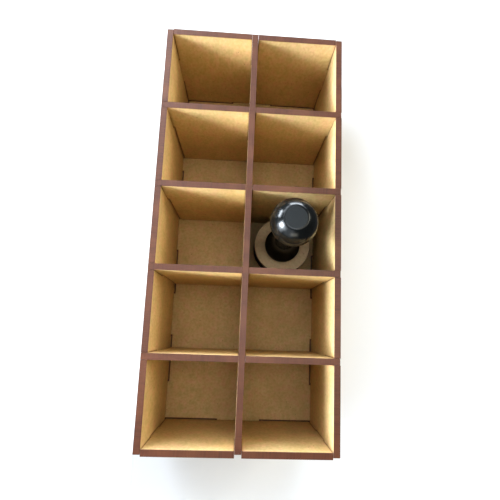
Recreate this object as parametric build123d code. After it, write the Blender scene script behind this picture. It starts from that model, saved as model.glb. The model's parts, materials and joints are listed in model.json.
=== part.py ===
from build123d import *
from math import hypot, sqrt
import os

# Open-topped storage box of laser-cut board: two columns of five compartments.
# A pad applicator stands in one compartment.
# Millimetres. Z is up, X is the width, Y the length, and -Y is the front.
# The origin is under the middle of the floor, on the surface that the box stands on.

# Box sizes: every compartment is the applicator's disc and some room round it
disc_radius = 16.5
side_room = 8.0  # a compartment is this much wider than the disc
row_room = 4.8  # and this much longer
row_count = 5
box_height = 72.0
sheet = 3.0  # board thickness, the same for every panel and divider

# Finger joints at the four upright corners
top_finger = 23.0  # height of the side panels' upper finger
middle_finger = 23.0  # height of the end panels' finger below it
side_front_step = 0.8  # the side panels end this far behind the front face
side_back_step = 0.4  # and this far short of the back face
corner_gap = 0.15  # laser cut between an end panel and a side panel

# Finger joints round the floor
floor_finger_count = 8  # equal spans along a side, every second one a floor tab
floor_finger_shift = 1.2  # the spans start this far in from the back face
floor_end_tab = 26.0  # width of the one tab at the front and at the back
floor_side_gap = 0.35  # cut that shows along the sides, between the tabs
floor_end_gap = 0.25  # cut along the front and back panels

# Dividers, which drop in from above
ear_height = 23.0  # the ends reach through the walls this far down
slot_play = 0.2  # slots are this much wider and deeper than what they hold
divider_end_gap = 0.45  # below its ears a divider stops this far from the wall
centre_front_step = 1.5  # the centre divider's front ear is short of the front face
cross_right_step = 0.2  # the cross dividers' right ears are short of the side face

# Applicator: a turned handle on a disc, with a pad held by hook-and-loop
pad_clearance = 0.3  # under the soft pad
pad_thickness = 12.5
pad_edge_chamfer = 0.6
hook_thickness = 1.7
hook_margin = 0.5  # the hook layer is this much smaller than the disc, all round
disc_thickness = 3.0
applicator_back_gap = 0.4  # from the disc to the cross divider behind it
applicator_left_shift = 0.5  # from the middle of its compartment

# Turned handle, heights from the top of the disc
handle_base_radius = 10.2
handle_base_land = 1.8
handle_base_chamfer = 0.8
neck_radius = 4.8
neck_bottom = 15.0  # the neck is straight from here
neck_top = 25.0  # to here, where it starts to swell into the ball
ball_radius = 11.35
ball_height = 59.4  # centre of the ball
flat_radius = 5.7  # flat on top of the ball

# Screw that holds the handle to the disc
screw_radius = 1.35
screw_length = 16.0
screw_tip = 2.5
screw_head_radius = 3.3
screw_head_height = 1.7
screw_play = 0.12
screw_flat = 0.2  # the head sits this far inside the disc

# Sizes that follow from the ones above
compartment_width = 2 * disc_radius + side_room
compartment_length = 2 * disc_radius + row_room
row_pitch = compartment_length + sheet
box_width = 2 * compartment_width + 3 * sheet
box_length = row_count * row_pitch + sheet
half_width = box_width / 2
half_length = box_length / 2
inner_half_width = half_width - sheet
inner_half_length = half_length - sheet
inner_height = box_height - sheet
slot_width = sheet + slot_play
centre_lean = slot_play / 4  # the centre divider stands to the left in its slots
side_front_end = -half_length + side_front_step
side_back_end = half_length - side_back_step
finger_top = box_height - top_finger
finger_bottom = finger_top - middle_finger
ear_bottom = box_height - ear_height
ear_slot_bottom = ear_bottom - slot_play
lap_height = sheet + inner_height / 2  # where a cross divider and the centre divider meet
cross_ys = [half_length - sheet / 2 - row * row_pitch for row in range(1, row_count)]

disc_bottom = sheet + pad_clearance + pad_thickness + hook_thickness
disc_top = disc_bottom + disc_thickness
applicator_x = (sheet + compartment_width) / 2 - applicator_left_shift
applicator_row = row_count // 2  # rows counted from the back, the first is 0
applicator_y = half_length - sheet - applicator_row * row_pitch - applicator_back_gap - disc_radius


def block(low_u, low_v, high_u, high_v):
    """Flat rectangle given by two corners in the panel's own plane."""
    middle = Pos((low_u + high_u) / 2, (low_v + high_v) / 2)
    return middle * Rectangle(high_u - low_u, high_v - low_v)


def slot(middle_u, low_v, high_v):
    """Slot as wide as a sheet and its play, centred on middle_u."""
    return block(middle_u - slot_width / 2, low_v, middle_u + slot_width / 2, high_v)


def upright_along_length(outline, low_x):
    """Panel whose outline is drawn with Y across and Z up."""
    return extrude(Plane.YZ.offset(low_x) * outline, amount=sheet)


def upright_along_width(outline, low_y):
    """Panel whose outline is drawn with X across and Z up."""
    return extrude(Plane.XZ.offset(-low_y) * outline, amount=-sheet)


def floor_tab_spans():
    """Start and end, along Y, of each tab on the floor's long edges."""
    span = box_length / floor_finger_count
    start = half_length - floor_finger_shift
    spans = []
    for finger in range(1, floor_finger_count, 2):
        high = start - finger * span
        low = max(high - span, side_front_end)
        spans.append((low, high))
    return spans


def floor_panel():
    outline = block(
        -inner_half_width + floor_side_gap,
        -inner_half_length + floor_end_gap,
        inner_half_width - floor_side_gap,
        inner_half_length - floor_end_gap,
    )
    for low, high in floor_tab_spans():
        outline += block(-half_width, low, half_width, high)
    # The foremost tabs run on beside the front panel, which needs its own room
    front_edge = -inner_half_length + floor_end_gap
    outline -= block(-inner_half_width, -half_length, inner_half_width, front_edge)
    outline += block(-floor_end_tab / 2, -half_length, floor_end_tab / 2, half_length)
    return extrude(outline, amount=sheet)


def side_panel(low_x):
    outline = block(side_front_end, 0, side_back_end, box_height)
    outline -= block(side_front_end, finger_bottom, -inner_half_length, finger_top)
    outline -= block(inner_half_length, finger_bottom, side_back_end, finger_top)
    for low, high in floor_tab_spans():
        outline -= block(low, 0, high, sheet)
    for cross_y in cross_ys:
        outline -= slot(cross_y, ear_slot_bottom, box_height)
    return upright_along_length(outline, low_x)


def end_panel(low_y):
    edge = inner_half_width - corner_gap
    outline = block(-edge, 0, edge, box_height)
    outline += block(-half_width, finger_bottom, half_width, finger_top)
    outline -= block(-floor_end_tab / 2, 0, floor_end_tab / 2, sheet)
    outline -= slot(0, ear_slot_bottom, box_height)
    return upright_along_width(outline, low_y)


def cross_divider(cross_y):
    edge = inner_half_width - divider_end_gap
    outline = block(-edge, sheet, edge, box_height)
    outline += block(-half_width, ear_bottom, half_width - cross_right_step, box_height)
    outline -= slot(0, lap_height - slot_play / 2, box_height)
    return upright_along_width(outline, cross_y - sheet / 2)


def centre_divider():
    edge = inner_half_length - divider_end_gap
    outline = block(-edge, sheet, edge, box_height)
    outline += block(-half_length + centre_front_step, ear_bottom, half_length, box_height)
    for cross_y in cross_ys:
        outline -= slot(cross_y, sheet, lap_height + slot_play / 2)
    return upright_along_length(outline, -sheet / 2 - centre_lean)


def applicator_handle():
    """Coved base, slim neck and a ball with a flat top, turned in one piece."""
    rise = ball_height - neck_top
    # Radius of the long cove that starts upright on the neck and meets the ball smoothly
    cove = (neck_radius**2 + rise**2 - ball_radius**2) / (2 * (ball_radius - neck_radius))
    share = ball_radius / hypot(neck_radius + cove, rise)
    ball_end = ((neck_radius + cove) * share, ball_height - rise * share)
    flat_height = ball_height + sqrt(ball_radius**2 - flat_radius**2)
    land_top = (handle_base_radius, handle_base_land)
    cove_foot = (handle_base_radius - handle_base_chamfer, handle_base_land + handle_base_chamfer)
    flank = [
        Polyline((0, 0), (handle_base_radius, 0), land_top, cove_foot),
        TangentArc((neck_radius, neck_bottom), cove_foot, tangent=(0, -1)),
        Line((neck_radius, neck_bottom), (neck_radius, neck_top)),
        TangentArc((neck_radius, neck_top), ball_end, tangent=(0, 1)),
        ThreePointArc(ball_end, (ball_radius, ball_height), (flat_radius, flat_height)),
        Polyline((flat_radius, flat_height), (0, flat_height), (0, 0)),
    ]
    profile = Plane.XZ * make_face(Curve() + flank)
    pilot_depth = screw_length - disc_thickness + screw_play + screw_flat
    pilot = Pos(0, 0, pilot_depth / 2) * Cylinder(screw_radius + screw_play, pilot_depth)
    turned = revolve(profile, Axis.Z) - pilot
    return Pos(applicator_x, applicator_y, disc_top) * turned


def applicator_disc():
    through = screw_radius + screw_play
    sink = screw_head_radius + screw_play
    disc = Pos(0, 0, disc_thickness / 2) * Cylinder(disc_radius, disc_thickness)
    disc -= Pos(0, 0, disc_thickness / 2) * Cylinder(through, disc_thickness)
    disc -= Pos(0, 0, screw_flat / 2) * Cylinder(sink, screw_flat)
    disc -= Pos(0, 0, screw_flat + screw_head_height / 2) * Cone(sink, through, screw_head_height)
    return Pos(applicator_x, applicator_y, disc_bottom) * disc


def handle_screw():
    """Countersunk wood screw, point up, drawn at its core diameter."""
    profile = make_face(
        Polyline(
            (0, 0),
            (screw_head_radius, 0),
            (screw_radius, screw_head_height),
            (screw_radius, screw_length - screw_tip),
            (0, screw_length),
            close=True,
        )
    )
    screw = revolve(Plane.XZ * profile, Axis.Z)
    return Pos(applicator_x, applicator_y, disc_bottom + screw_flat) * screw


def hook_pad():
    layer = Pos(0, 0, hook_thickness / 2) * Cylinder(disc_radius - hook_margin, hook_thickness)
    return Pos(applicator_x, applicator_y, disc_bottom - hook_thickness) * layer


def foam_pad():
    pad = Pos(0, 0, pad_thickness / 2) * Cylinder(disc_radius, pad_thickness)
    pad = chamfer(pad.edges().filter_by(GeomType.CIRCLE), pad_edge_chamfer)
    return Pos(applicator_x, applicator_y, sheet + pad_clearance) * pad


parts = {
    "floor_panel": floor_panel(),
    "left_side_panel": side_panel(-half_width),
    "right_side_panel": side_panel(inner_half_width),
    "front_panel": end_panel(-half_length),
    "back_panel": end_panel(inner_half_length),
    "centre_divider": centre_divider(),
    "applicator_handle": applicator_handle(),
    "applicator_disc": applicator_disc(),
    "handle_screw": handle_screw(),
    "hook_pad": hook_pad(),
    "foam_pad": foam_pad(),
}
for number, cross_y in enumerate(cross_ys, start=1):
    parts[f"cross_divider_{number}"] = cross_divider(cross_y)

os.makedirs("parts", exist_ok=True)
for node, shape in parts.items():
    export_step(shape, f"parts/{node}.step")
    print(node, round(shape.volume, 1), "mm3")
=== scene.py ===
import json
import math

import bmesh
import bpy
from mathutils import Euler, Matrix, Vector


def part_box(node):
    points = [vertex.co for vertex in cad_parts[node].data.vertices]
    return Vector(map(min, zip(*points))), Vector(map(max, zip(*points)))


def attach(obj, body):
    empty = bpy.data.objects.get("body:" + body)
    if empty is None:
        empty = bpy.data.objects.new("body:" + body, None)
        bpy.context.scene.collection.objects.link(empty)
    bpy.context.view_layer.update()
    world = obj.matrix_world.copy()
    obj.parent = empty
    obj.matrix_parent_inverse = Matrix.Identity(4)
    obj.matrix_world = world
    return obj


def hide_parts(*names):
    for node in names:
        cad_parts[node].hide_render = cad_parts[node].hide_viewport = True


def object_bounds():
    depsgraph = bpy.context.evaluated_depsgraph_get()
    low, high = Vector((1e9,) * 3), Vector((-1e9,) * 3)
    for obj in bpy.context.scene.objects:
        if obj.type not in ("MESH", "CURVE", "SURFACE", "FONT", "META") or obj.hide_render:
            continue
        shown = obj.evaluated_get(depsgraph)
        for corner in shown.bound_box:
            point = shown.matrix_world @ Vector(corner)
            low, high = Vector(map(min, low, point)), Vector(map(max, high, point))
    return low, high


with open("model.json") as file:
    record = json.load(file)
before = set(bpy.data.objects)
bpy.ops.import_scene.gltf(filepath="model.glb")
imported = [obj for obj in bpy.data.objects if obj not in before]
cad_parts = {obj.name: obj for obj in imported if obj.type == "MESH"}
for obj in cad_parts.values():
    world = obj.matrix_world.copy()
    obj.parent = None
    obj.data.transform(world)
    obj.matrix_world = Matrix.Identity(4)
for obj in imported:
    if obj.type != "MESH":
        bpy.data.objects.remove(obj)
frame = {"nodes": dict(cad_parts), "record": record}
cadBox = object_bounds()
print("frame loaded:", len(frame["nodes"]), "nodes")

mm = 0.001
weld = 0.001 * mm
cadNodes = frame["nodes"]
bodies = frame["record"]["behaviour"]["bodies"]
bodyOf = {node: body for body, nodes in bodies.items() for node in nodes}
colourMix = {"data_type": "RGBA"}
mixFactor, mixFrom, mixTo, mixResult = 0, 6, 7, 2  # sockets that share names go by number


def linear(hexColour):
    # sRGB hex to the linear values that a shader wants
    channels = [int(hexColour[i : i + 2], 16) / 255 for i in (1, 3, 5)]
    return [c / 12.92 if c <= 0.04045 else ((c + 0.055) / 1.055) ** 2.4 for c in channels] + [1]


def perMm(size):
    # texture scale for a pattern of this size in millimetres
    return 1 / (size * mm)


def setInputs(tree, node, inputs):
    # the output of another node is linked, anything else is a value
    for socket, value in inputs.items():
        if isinstance(value, bpy.types.NodeSocket):
            tree.links.new(value, node.inputs[socket])
        else:
            node.inputs[socket].default_value = value


def addNode(tree, kind, settings, inputs):
    node = tree.nodes.new("ShaderNode" + kind)
    for name, value in settings.items():
        setattr(node, name, value)
    setInputs(tree, node, inputs)
    return node


def newMaterial(name, finish):
    material = bpy.data.materials.new(name)
    material.use_nodes = True
    tree = material.node_tree
    shader = tree.nodes["Principled BSDF"]
    setInputs(tree, shader, finish)
    return material, tree, shader


def addPatterns(tree, place, patterns):
    # each is a texture, its size in millimetres and its other values
    made = {}
    for name, (kind, size, values) in patterns.items():
        inputs = {"Vector": place, "Scale": perMm(size)} | values
        made[name] = addNode(tree, kind, {}, inputs).outputs[0]
    return made


def layTints(tree, look, patterns):
    # a layer is a tint, its pattern, where in that it starts and is full, and its strength
    colour = linear(look["colour"])
    for tint, pattern, start, full, strength in look["layers"]:
        limits = {"From Min": start, "From Max": full, "To Max": strength}
        amount = addNode(tree, "MapRange", {}, {"Value": patterns[pattern]} | limits)
        inputs = {mixFactor: amount.outputs[0], mixFrom: colour, mixTo: linear(look[tint])}
        colour = addNode(tree, "Mix", colourMix, inputs).outputs[mixResult]
    return colour


def reliefOf(look):
    # how deep the surface's bumps are, given in millimetres, and how strongly they show
    return {"Distance": look["bumpDepth"] * mm, "Strength": look["bumpStrength"]}


# Medium-density fibreboard, sanded face: matt tan, fine felted fibres in pinkish and olive
# clumps, a few dark specks, a brown scorch where the laser's smoke reached past the cut
# and a thin line of char at the cut itself
fibreboardFace = {
    "name": "fibreboard_sanded_face",
    "colour": "#D5BA87",
    "paleFibre": "#E8D1A1",
    "darkFibre": "#B39562",
    "pinkClump": "#DBB48B",
    "oliveClump": "#C7B47E",
    "speck": "#7A5A38",
    "scorch": "#8A4E26",
    "char": "#432415",
    "patterns": {
        # real fibres are finer, these are as fine as the render shows
        "fibres": ("TexNoise", 1.3, {"Detail": 2, "Roughness": 0.55}),
        "clumps": ("TexNoise", 3.4, {"Detail": 2, "Roughness": 0.5}),
        "blotches": ("TexNoise", 16, {"Detail": 2}),
        "specks": ("TexVoronoi", 5, {"Randomness": 1}),
    },
    "layers": (
        ("pinkClump", "clumps", 0.5, 0.7, 0.8),
        ("oliveClump", "clumps", 0.5, 0.3, 0.8),
        ("paleFibre", "fibres", 0.5, 0.8, 0.45),
        ("darkFibre", "fibres", 0.5, 0.22, 0.45),
        ("darkFibre", "blotches", 0.35, 0.7, 0.3),
        # a speck's edge, in millimetres from its middle, as a part of the spacing
        ("speck", "specks", 0.352 / 5, 0.132 / 5, 0.7),
        ("scorch", "smoke", 0, 1, 1),
        ("char", "cut", 0.7, 0.95, 0.9),
    ),
    "upright": 0.55,  # the patterns are drawn out along Z, as the boards' grain is on the walls
    "smokeFade": 1.8,  # higher keeps the scorch closer to the cut
    "smokeStrength": 1.3,
    "finish": {"Roughness": 0.62},
    "bumpDepth": 0.05,
    "bumpStrength": 0.5,
}


def makeFibreboardFace(look):
    material, tree, shader = newMaterial(look["name"], look["finish"])
    place = addNode(tree, "TexCoord", {}, {}).outputs["Object"]
    stretch = {"Vector": place, "Scale": (1, 1, look["upright"])}
    drawnOut = addNode(tree, "Mapping", {}, stretch).outputs[0]
    patterns = addPatterns(tree, drawnOut, look["patterns"])
    # the smoke's scorch is strongest at the cut and broken up by the blotches
    cut = addNode(tree, "Attribute", {"attribute_name": "scorch"}, {}).outputs["Fac"]
    faded = addNode(tree, "Math", {"operation": "POWER"}, {0: cut, 1: look["smokeFade"]})
    broken = addNode(
        tree, "Math", {"operation": "MULTIPLY"}, {0: faded.outputs[0], 1: patterns["blotches"]}
    )
    smoke = addNode(
        tree,
        "Math",
        {"operation": "MULTIPLY", "use_clamp": True},
        {0: broken.outputs[0], 1: look["smokeStrength"]},
    )
    patterns |= {"cut": cut, "smoke": smoke.outputs[0]}
    colour = layTints(tree, look, patterns)
    bump = addNode(tree, "Bump", {}, {"Height": patterns["fibres"]} | reliefOf(look))
    setInputs(tree, shader, {"Base Color": colour, "Normal": bump.outputs[0]})
    return material


# The applicator's disc: the same board, in paler and greyer colours
discFace = fibreboardFace | {
    "name": "fibreboard_disc_face",
    "colour": "#DCC6A4",
    "paleFibre": "#ECDBBE",
    "darkFibre": "#BBA480",
    "pinkClump": "#DDBEA0",
    "oliveClump": "#D2C19A",
    "upright": 1,
}

# Laser-cut edge of the same board: charred red-brown, slightly glossy from the melted resin,
# with fine striations through the thickness and pale chips where the char has flaked off
laserCutEdge = {
    "name": "laser_cut_edge_through_",
    "colour": "#54301F",
    "deepChar": "#3A2014",
    "worn": "#653E28",
    "chip": "#C9A878",
    "patterns": {
        "blotches": ("TexNoise", 11, {"Detail": 3}),
        "flakes": ("TexVoronoi", 13, {"Randomness": 1}),
    },
    # real striations are about 0.2 mm apart, these are as fine as the render shows
    "lines": {"striations": ("TexNoise", 0.7, {"Detail": 2, "Roughness": 0.7})},
    "through": 0.04,  # the striations are drawn out along this axis, from face to face
    "layers": (
        ("deepChar", "striations", 0.55, 0.25, 0.7),
        ("worn", "blotches", 0.45, 0.75, 0.8),
        # a chip's edge, given as a speck's is
        ("chip", "flakes", 0.4 / 13, 0.2 / 13, 0.9),
    ),
    "finish": {"Roughness": 0.36, "Specular IOR Level": 0.55},
    "bumpDepth": 0.04,
    "bumpStrength": 0.6,
}


def makeLaserCutEdge(look, axis):
    material, tree, shader = newMaterial(look["name"] + "xyz"[axis], look["finish"])
    place = addNode(tree, "TexCoord", {}, {}).outputs["Object"]
    stretch = [1, 1, 1]
    stretch[axis] = look["through"]
    along = addNode(tree, "Mapping", {}, {"Vector": place, "Scale": stretch}).outputs[0]
    patterns = addPatterns(tree, place, look["patterns"]) | addPatterns(tree, along, look["lines"])
    colour = layTints(tree, look, patterns)
    bump = addNode(tree, "Bump", {}, {"Height": patterns["striations"]} | reliefOf(look))
    setInputs(tree, shader, {"Base Color": colour, "Normal": bump.outputs[0]})
    return material


faceMaterial = makeFibreboardFace(fibreboardFace)
discMaterial = makeFibreboardFace(discFace)
edgeMaterials = [makeLaserCutEdge(laserCutEdge, axis) for axis in range(3)]
print("board materials made")

# Black gloss lacquer on turned wood: deep and wet-looking, faintly uneven
glossLacquer = {
    "name": "black_gloss_lacquer",
    "colour": "#0B0E0F",
    "patterns": {"unevenness": ("TexNoise", 7, {"Detail": 2})},
    "finish": {"Roughness": 0.22, "IOR": 1.5},
    "bumpDepth": 0.02,
    "bumpStrength": 0.5,
}

# The same lacquer on the sanded flat: satin, so it shows the room as one even grey
satinLacquer = glossLacquer | {
    "name": "black_satin_lacquer",
    "colour": "#0D1316",
    "patterns": {"unevenness": ("TexNoise", 1.2, {"Detail": 2})},
    "finish": {"Roughness": 0.38, "IOR": 1.5},
    "bumpDepth": 0.006,
}

# Zinc-plated steel: pale grey with a faint warm cast, finely grained
zincPlate = {
    "name": "zinc_plated_steel",
    "colour": "#C9C4B8",
    "patterns": {"unevenness": ("TexNoise", 0.4, {"Detail": 3})},
    "finish": {"Roughness": 0.34, "Metallic": 1},
    "bumpDepth": 0.02,
    "bumpStrength": 0.4,
}


def makeCoating(look):
    # one colour all over, only its surface is a little uneven
    material, tree, shader = newMaterial(look["name"], look["finish"])
    place = addNode(tree, "TexCoord", {}, {}).outputs["Object"]
    height = addPatterns(tree, place, look["patterns"])["unevenness"]
    bump = addNode(tree, "Bump", {}, {"Height": height} | reliefOf(look))
    setInputs(tree, shader, {"Base Color": linear(look["colour"]), "Normal": bump.outputs[0]})
    return material


# Woven nylon hook tape: black, a tight square weave, with painted shade darkening it between its
# threads
hookTape = {
    "name": "woven_nylon_hook_tape",
    "colour": "#26282A",
    # colour of the painted shade between the threads
    "paintedHollowShade": "#0E0F10",
    "spacing": 0.8,  # from thread to thread
    "scatter": 0.15,
    "hollowStart": 0,
    "hollowFull": 1,
    "finish": {"Roughness": 0.7},
    "bumpDepth": 0.3,
    "bumpStrength": 0.8,
}

# Open-cell polyurethane foam, dark all over: matt, full of small pores that painted shade darkens
padFoam = {
    "name": "open_cell_foam",
    "colour": "#2B2825",
    # colour of the painted shade in the pores
    "paintedHollowShade": "#141211",
    "spacing": 0.7,  # from pore to pore
    "scatter": 1,
    "hollowStart": 0.45,
    "hollowFull": 0.1,
    "finish": {"Roughness": 0.95},
    "bumpDepth": 0.2,
    "bumpStrength": 0.8,
}


def makePittedFinish(look):
    # threads or cells at an even spacing, with painted shade darkening their hollows
    material, tree, shader = newMaterial(look["name"], look["finish"])
    place = addNode(tree, "TexCoord", {}, {}).outputs["Object"]
    cells = addNode(
        tree,
        "TexVoronoi",
        {},
        {"Vector": place, "Scale": perMm(look["spacing"]), "Randomness": look["scatter"]},
    )
    limits = {"From Min": look["hollowStart"], "From Max": look["hollowFull"]}
    # one mask sinks the hollows in the bump and darkens them with painted shade
    paintedHollowShade = addNode(tree, "MapRange", {}, {"Value": cells.outputs[0]} | limits).outputs[0]
    tints = {mixFrom: linear(look["colour"]), mixTo: linear(look["paintedHollowShade"])}
    colour = addNode(tree, "Mix", colourMix, {mixFactor: paintedHollowShade} | tints).outputs[mixResult]
    bump = addNode(tree, "Bump", {"invert": True}, {"Height": paintedHollowShade} | reliefOf(look))
    setInputs(tree, shader, {"Base Color": colour, "Normal": bump.outputs[0]})
    return material


lacquerMaterial = makeCoating(glossLacquer)
satinMaterial = makeCoating(satinLacquer)
zincMaterial = makeCoating(zincPlate)
tapeMaterial = makePittedFinish(hookTape)
foamMaterial = makePittedFinish(padFoam)
print("applicator materials made")


def addObject(bm, name, materials):
    mesh = bpy.data.meshes.new(name)
    bm.to_mesh(mesh)
    bm.free()
    for material in materials:
        mesh.materials.append(material)
    piece = bpy.data.objects.new(name, mesh)
    bpy.context.scene.collection.objects.link(piece)
    return piece


def addPiece(bm, name, node, materials):
    piece = addObject(bm, name, materials)
    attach(piece, bodyOf[node])
    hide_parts(node)
    return piece


def looksAlong(face, axis):
    # either way along X, Y or Z, which are 0, 1 and 2
    return abs(face.normal[axis]) > 0.99


# Boards: each is the CAD panel with its arrises eased and a scorched margin round its faces
board = {
    "arris": 0.05,
    "arrisSegments": 1,
    "sharpAngle": 30,  # edges sharper than this are eased
    "flatAngle": 1,  # triangles that meet flatter than this become one face
    "scorchWidth": 1.2,
    "burn": 1,
    "floorCharAndShade": 1.35,  # the floor's char reaches further in, partly real char and partly painted shade in the gaps between its tabs
}
thicknessAxis = {
    "floor_panel": 2,
    "left_side_panel": 0,
    "right_side_panel": 0,
    "front_panel": 1,
    "back_panel": 1,
    "centre_divider": 0,
    "cross_divider_1": 1,
    "cross_divider_2": 1,
    "cross_divider_3": 1,
    "cross_divider_4": 1,
}


def makeBoard(node, axis):
    bm = bmesh.new()
    bm.from_mesh(cadNodes[node].data)
    bmesh.ops.remove_doubles(bm, verts=bm.verts, dist=weld)
    bmesh.ops.dissolve_limit(
        bm, angle_limit=math.radians(board["flatAngle"]), verts=bm.verts, edges=bm.edges
    )
    broad = [face for face in bm.faces if looksAlong(face, axis)]
    bmesh.ops.inset_region(
        bm,
        faces=broad,
        thickness=board["scorchWidth"] * mm,
        use_even_offset=True,
        use_boundary=True,
    )
    scorch = bm.verts.layers.float.new("scorch")
    inner = {vert for face in broad for vert in face.verts}
    # on the floor the margin also carries painted shade at its tabs
    burn = board["floorCharAndShade" if node == "floor_panel" else "burn"]
    for vert in bm.verts:
        vert[scorch] = 0 if vert in inner else burn
    sharp = math.radians(board["sharpAngle"])
    bmesh.ops.bevel(
        bm,
        geom=[edge for edge in bm.edges if edge.calc_face_angle(0) > sharp],
        offset=board["arris"] * mm,
        segments=board["arrisSegments"],
        profile=0.5,
        affect="EDGES",
        material=-1,
        clamp_overlap=True,
    )
    for face in bm.faces:
        face.material_index = 0 if looksAlong(face, axis) else 1
        face.smooth = False
    addPiece(bm, node + "_board", node, [faceMaterial, edgeMaterials[axis]])


for node, axis in thicknessAxis.items():
    makeBoard(node, axis)
print("boards made:", len(thicknessAxis))


# Turned pieces: a profile in the XZ plane, grown from one point and spun about the axis
discLow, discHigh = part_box("applicator_disc")
axisPoint = (Vector(discLow) + Vector(discHigh)) / 2


def startProfile(radius, height):
    bm = bmesh.new()
    return bm, bm.verts.new((radius * mm, 0, height * mm))


def lineTo(bm, tip, radius, height):
    grown = bmesh.ops.extrude_vert_indiv(bm, verts=[tip])["verts"][0]
    grown.co = (radius * mm, 0, height * mm)
    return grown


def arcAbout(bm, tip, radius, height, degrees, segments):
    # positive degrees turn the point from +X towards +Z
    swept = bmesh.ops.spin(
        bm,
        geom=[tip],
        cent=(radius * mm, 0, height * mm),
        axis=(0, -1, 0),
        angle=math.radians(degrees),
        steps=segments,
    )
    return next(item for item in swept["geom_last"] if isinstance(item, bmesh.types.BMVert))


def spinRound(bm, baseHeight, steps):
    bmesh.ops.spin(
        bm,
        geom=bm.verts[:] + bm.edges[:],
        cent=(0, 0, 0),
        axis=(0, 0, 1),
        angle=math.tau,
        steps=steps,
        use_merge=True,
    )
    bmesh.ops.remove_doubles(bm, verts=bm.verts, dist=weld)
    bmesh.ops.recalc_face_normals(bm, faces=bm.faces)
    bmesh.ops.translate(bm, verts=bm.verts, vec=(axisPoint.x, axisPoint.y, baseHeight))
    for face in bm.faces:
        face.smooth = True


# Handle, millimetres above the disc: coved base, straight neck, long cove into a ball with a flat
handle = {
    "baseRadius": 10.2,
    "baseLand": 1.8,
    "baseRound": 0.8,
    "neckRadius": 4.8,
    "neckBottom": 15,
    "neckTop": 25,
    "flatRadius": 5.7,
    "shoulderRound": 0.9,
    "baseSegments": 6,
    "footSegments": 16,
    "coveSegments": 20,
    "ballSegments": 40,
    "shoulderSegments": 6,
    "steps": 128,
}
handleLow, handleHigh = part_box("applicator_handle")
ballRadius = (handleHigh[0] - handleLow[0]) / 2 / mm
handleHeight = (handleHigh[2] - handleLow[2]) / mm
ballHeight = handleHeight - math.sqrt(ballRadius**2 - handle["flatRadius"] ** 2)
neckRadius = handle["neckRadius"]
baseRadius = handle["baseRadius"]
baseLand = handle["baseLand"]
footRadius = baseRadius - handle["baseRound"]

# base and the foot's short cove, which ends upright at the neck
bm, tip = startProfile(0, 0)
tip = lineTo(bm, tip, baseRadius, 0)
tip = lineTo(bm, tip, baseRadius, baseLand)
tip = arcAbout(bm, tip, footRadius, baseLand, 90, handle["baseSegments"])
footRise = handle["neckBottom"] - baseLand - handle["baseRound"]
footRun = footRadius - neckRadius
footCove = (footRise**2 + footRun**2) / (2 * footRun)
footAngle = math.degrees(math.asin(footRise / footCove))
footCentre = (neckRadius + footCove, handle["neckBottom"])
tip = arcAbout(bm, tip, *footCentre, -footAngle, handle["footSegments"])

# neck and the long cove, which starts upright and meets the ball smoothly
tip = lineTo(bm, tip, neckRadius, handle["neckTop"])
rise = ballHeight - handle["neckTop"]
cove = (neckRadius**2 + rise**2 - ballRadius**2) / (2 * (ballRadius - neckRadius))
coveAngle = math.degrees(math.atan2(rise, neckRadius + cove))
coveCentre = (neckRadius + cove, handle["neckTop"])
tip = arcAbout(bm, tip, *coveCentre, -coveAngle, handle["coveSegments"])

# ball, its shoulder and the flat on top
shoulderAngle = math.degrees(math.acos(handle["flatRadius"] / ballRadius))
ballTurn = coveAngle + shoulderAngle
shoulder = arcAbout(bm, tip, 0, ballHeight, ballTurn, handle["ballSegments"])
lineTo(bm, shoulder, 0, handleHeight)
bmesh.ops.bevel(
    bm,
    geom=[shoulder],
    offset=handle["shoulderRound"] * mm,
    segments=handle["shoulderSegments"],
    profile=0.5,
    affect="VERTICES",
    material=-1,
)
spinRound(bm, handleLow[2], handle["steps"])
for face in bm.faces:
    face.material_index = 1 if face.normal.z > 0.999 else 0  # the flat is satin
handleMaterials = [lacquerMaterial, satinMaterial]
addPiece(bm, "turned_handle", "applicator_handle", handleMaterials)

# Disc under the handle, laser-cut from the same board, with the screw's hole through it
disc = {
    "holeRadius": 1.5,
    "bottomRound": 0.2,
    "topRound": 0.2,
    "bottomSegments": 3,
    "topSegments": 3,
    "steps": 128,
}

# Hook layer under the disc
hookLayer = {
    "holeRadius": 0,
    "bottomRound": 0.35,
    "topRound": 0.35,
    "bottomSegments": 4,
    "topSegments": 4,
    "steps": 96,
}

# Foam pad: soft edges, the lower one rounder than the one under the hook layer
foamPad = {
    "holeRadius": 0,
    "bottomRound": 2.4,
    "topRound": 1.2,
    "bottomSegments": 8,
    "topSegments": 6,
    "steps": 96,
}


def turnLayer(node, layer):
    # a flat round layer as wide and as thick as the CAD's, with rounded edges
    low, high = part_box(node)
    radius = (high[0] - low[0]) / 2 / mm
    thickness = (high[2] - low[2]) / mm
    hole, bottom, top = layer["holeRadius"], layer["bottomRound"], layer["topRound"]
    bm, first = startProfile(hole, 0)
    tip = lineTo(bm, first, radius - bottom, 0)
    tip = arcAbout(bm, tip, radius - bottom, bottom, 90, layer["bottomSegments"])
    tip = lineTo(bm, tip, radius, thickness - top)
    tip = arcAbout(bm, tip, radius - top, thickness - top, 90, layer["topSegments"])
    tip = lineTo(bm, tip, hole, thickness)
    if hole:
        bm.edges.new((tip, first))
    spinRound(bm, low[2], layer["steps"])
    return bm


bm = turnLayer("applicator_disc", disc)
for face in bm.faces:
    face.material_index = 0 if looksAlong(face, 2) else 1
addPiece(bm, "handle_disc", "applicator_disc", [discMaterial, edgeMaterials[2]])
addPiece(turnLayer("hook_pad", hookLayer), "hook_layer", "hook_pad", [tapeMaterial])
bm = turnLayer("foam_pad", foamPad)
softPad = addPiece(bm, "foam_applicator_pad", "foam_pad", [foamMaterial])

cadNodes["handle_screw"].data.materials.clear()
cadNodes["handle_screw"].data.materials.append(zincMaterial)
print("applicator made")

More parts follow.
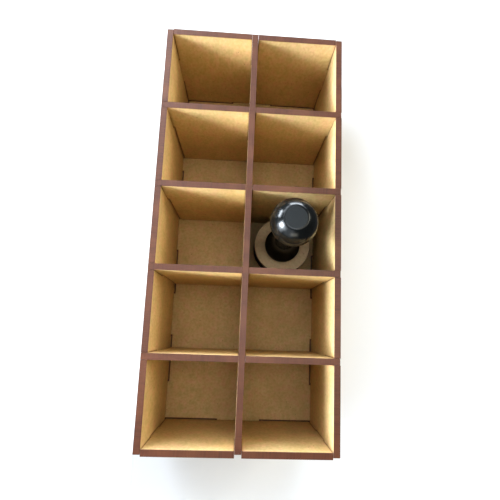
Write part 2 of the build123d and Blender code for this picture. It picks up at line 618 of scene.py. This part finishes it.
# Pale paper floor that the box stands on. The lacquer would mirror it as a bright ring, and
# the real surroundings were darker than paper, so reflections leave it out.
paper = {"colour": "#EBEDF2", "roughness": 0.9, "halfWidth": 1}
paperFinish = {"Base Color": linear(paper["colour"]), "Roughness": paper["roughness"]}
paperMaterial = newMaterial("white_paper_floor", paperFinish)[0]
bm = bmesh.new()
bmesh.ops.create_grid(bm, x_segments=1, y_segments=1, size=paper["halfWidth"])
paperFloor = addObject(bm, "paper_floor", [paperMaterial])
paperFloor.visible_glossy = False

# Dark cards keep the strongest lights off the box's outer walls on the left and at the back,
# which they would burn out. The other lights pass them, and they aren't seen. Millimetres.
cards = {
    "left_card": {
        "side": (-1, 0),
        "turn": 90,
        "length": 330,
        "height": 75,
        "shades": ("window", "windowGlow", "lowLeft"),
    },
    "back_card": {
        "side": (0, 1),
        "turn": 0,
        "length": 200,
        "height": 71,
        "shades": ("back", "backMid", "backRight"),
    },
}
cardGap = 15  # from the box's outer face
cardFinish = {"Base Color": linear("#1C1C1C"), "Roughness": 0.9}
cardMaterial = newMaterial("dark_card", cardFinish)[0]


def makeCard(name, card):
    # a metre square, scaled, stood up and moved to its side of the box
    bm = bmesh.new()
    bmesh.ops.create_grid(bm, x_segments=1, y_segments=1, size=0.5)
    size = (card["length"] * mm, card["height"] * mm, 1)
    bmesh.ops.scale(bm, verts=bm.verts, vec=size)
    upright = Euler((math.radians(90), 0, math.radians(card["turn"]))).to_matrix()
    bmesh.ops.rotate(bm, verts=bm.verts, cent=(0, 0, 0), matrix=upright)
    x, y = (side * (cadBox[1][i] + cardGap * mm) for i, side in enumerate(card["side"]))
    bmesh.ops.translate(bm, verts=bm.verts, vec=(x, y, card["height"] / 2 * mm))
    piece = addObject(bm, name, [cardMaterial])
    piece.visible_camera = piece.visible_diffuse = piece.visible_glossy = False
    return piece


cardPieces = {name: makeCard(name, card) for name, card in cards.items()}
print("floor and cards made")


def letPastCards(holder):
    # the cards that shouldn't shade this light are taken out of what blocks it
    passing = bpy.data.collections.new("past_" + holder.name)
    for name, card in cards.items():
        if holder.name not in card["shades"]:
            passing.objects.link(cardPieces[name])
    for entry in passing.collection_objects:
        entry.light_linking.link_state = "EXCLUDE"
    holder.light_linking.blocker_collection = passing


# Light: a bright low window close by on the left and its glow, broad soft panels behind and on
# the right, weak ones in front and overhead, and little from the room itself. Compass 0 is +X
# and 90 is +Y, up is degrees over the horizon, away is metres from the middle of the top, size
# is in metres and power in watts.
lights = {
    "window": {"compass": 199, "up": 19, "away": 0.42, "size": (0.14, 0.16), "power": 2.9},
    "windowGlow": {"compass": 204, "up": 11, "away": 0.43, "size": (0.26, 0.28), "power": 1.2},
    "windowHigh": {"compass": 195, "up": 37, "away": 0.5, "size": (0.25, 0.13), "power": 0.36},
    "windowFront": {"compass": 220, "up": 23, "away": 1, "size": (0.25, 0.3), "power": 1.17},
    "windowFar": {"compass": 247, "up": 20, "away": 1, "size": (0.7, 0.8), "power": 2.0},
    "lowLeft": {"compass": 150, "up": 9, "away": 0.42, "size": (0.2, 0.09), "power": 1.27},
    "backLeft": {"compass": 125, "up": 32, "away": 0.5, "size": (0.25, 0.2), "power": 1.2},
    "highLeft": {"compass": 140, "up": 55, "away": 0.5, "size": (0.25, 0.25), "power": 0.38},
    "back": {"compass": 84, "up": 6, "away": 1, "size": (0.7, 0.2), "power": 6.98},
    "backMid": {"compass": 105, "up": 20, "away": 1, "size": (0.6, 0.25), "power": 2.65},
    "backRight": {"compass": 62, "up": 20, "away": 1, "size": (0.35, 0.25), "power": 2.6},
    "highBack": {"compass": 95, "up": 60, "away": 1, "size": (0.5, 0.4), "power": 1.1},
    "right": {"compass": 20, "up": 30, "away": 1, "size": (0.4, 0.3), "power": 3.89},
    "rightHigh": {"compass": 12, "up": 52, "away": 1, "size": (0.5, 0.3), "power": 1.35},
    "rightTop": {"compass": 0, "up": 74, "away": 1, "size": (0.4, 0.3), "power": 0.6},
    "front": {"compass": 270, "up": 15, "away": 1, "size": (0.5, 0.3), "power": 1.32},
    "leftTop": {"compass": 180, "up": 74, "away": 1, "size": (0.4, 0.3), "power": 0.3},
    "above": {"compass": 0, "up": 90, "away": 1, "size": (0.35, 0.35), "power": 1.1},
}
daylight = "#EDF6FF"
roomLamp = "#FAF6E6"
warmLights = ("right", "rightHigh", "rightTop", "front")
topMiddle = Vector((0, 0, cadBox[1][2]))
for name, light in lights.items():
    lamp = bpy.data.lights.new(name, "AREA")
    lamp.shape = "RECTANGLE"
    lamp.size, lamp.size_y = light["size"]
    lamp.energy = light["power"]
    lamp.color = linear(roomLamp if name in warmLights else daylight)[:3]
    compass, up = math.radians(light["compass"]), math.radians(light["up"])
    level = math.cos(up)
    towards = Vector((level * math.cos(compass), level * math.sin(compass), math.sin(up)))
    holder = bpy.data.objects.new(name, lamp)
    holder.location = topMiddle + towards * light["away"]
    holder.rotation_euler = towards.to_track_quat("Z", "Y").to_euler()
    letPastCards(holder)
    bpy.context.scene.collection.objects.link(holder)

# Room: faint even light, but white where the camera sees it
room = {"light": 0.14, "seen": "#F7F7F7"}
world = bpy.data.worlds.new("even_room")
bpy.context.scene.world = world
world.use_nodes = True
tree = world.node_tree
seenDirectly = addNode(tree, "LightPath", {}, {}).outputs["Is Camera Ray"]
tints = {mixFrom: [room["light"]] * 3 + [1], mixTo: linear(room["seen"])}
mix = addNode(tree, "Mix", colourMix, {mixFactor: seenDirectly} | tints)
setInputs(tree, tree.nodes["Background"], {"Color": mix.outputs[mixResult]})

# Camera: looks almost straight down from above the front half, turned and leant a little, as
# the picture was taken. Its place is in millimetres and its turn in degrees.
shot = {
    "place": (-2.15, -47.77, 285.76),
    "turn": (10.548, -3.676, 1.923),
    "lens": 32.815,
    "sensor": 36,
    "shift": (-0.0365, -0.0117),
    "nearest": 10,
}
camera = bpy.data.cameras.new("camera")
camera.lens = shot["lens"]
camera.sensor_width = shot["sensor"]
camera.shift_x, camera.shift_y = shot["shift"]
camera.clip_start = shot["nearest"] * mm
cameraHolder = bpy.data.objects.new("camera", camera)
cameraHolder.location = Vector(shot["place"]) * mm
cameraHolder.rotation_euler = Euler([math.radians(angle) for angle in shot["turn"]])
bpy.context.scene.collection.objects.link(cameraHolder)
bpy.context.scene.camera = cameraHolder
bpy.context.scene.view_settings.view_transform = "Standard"
bpy.context.scene.view_settings.look = "Medium High Contrast"
print("light and camera set")
